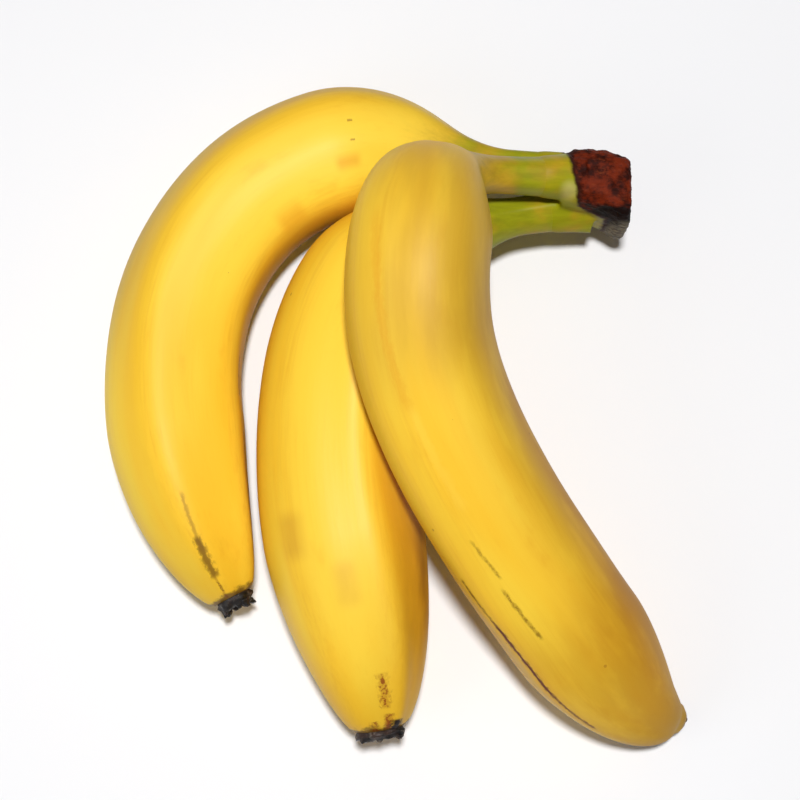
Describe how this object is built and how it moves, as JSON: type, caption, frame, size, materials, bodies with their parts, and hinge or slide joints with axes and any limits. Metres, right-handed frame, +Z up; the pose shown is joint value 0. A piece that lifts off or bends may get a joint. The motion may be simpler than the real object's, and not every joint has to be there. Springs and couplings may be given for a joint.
{
  "type": "banana bunch",
  "caption": "Small bunch of ripe dessert bananas joined at a cut crown, lying down, with green stalks and dried blossom ends.",
  "frame": {"origin": "centre of the bunch's bounding box on the surface that it lies on", "axes": "+Z up from the surface, +X towards the crown's cut face, +Y from the blossom ends towards the crown"},
  "size_m": [0.1478, 0.1688, 0.0756],
  "materials": {
    "peel": "smooth waxy ripe peel, yellow with green stalks, faint ridges and a few brown bruises",
    "crown": "dried, rough, reddish-brown cut",
    "blossom_end": "dried, crumbly, near-black flower scar"
  },
  "bodies": {
    "root": {"crown": "crown", "banana_left": "peel", "banana_middle": "peel", "banana_front": "peel", "blossom_end_left": "blossom_end", "blossom_end_middle": "blossom_end", "blossom_end_front": "blossom_end"}
  },
  "joints": []
}
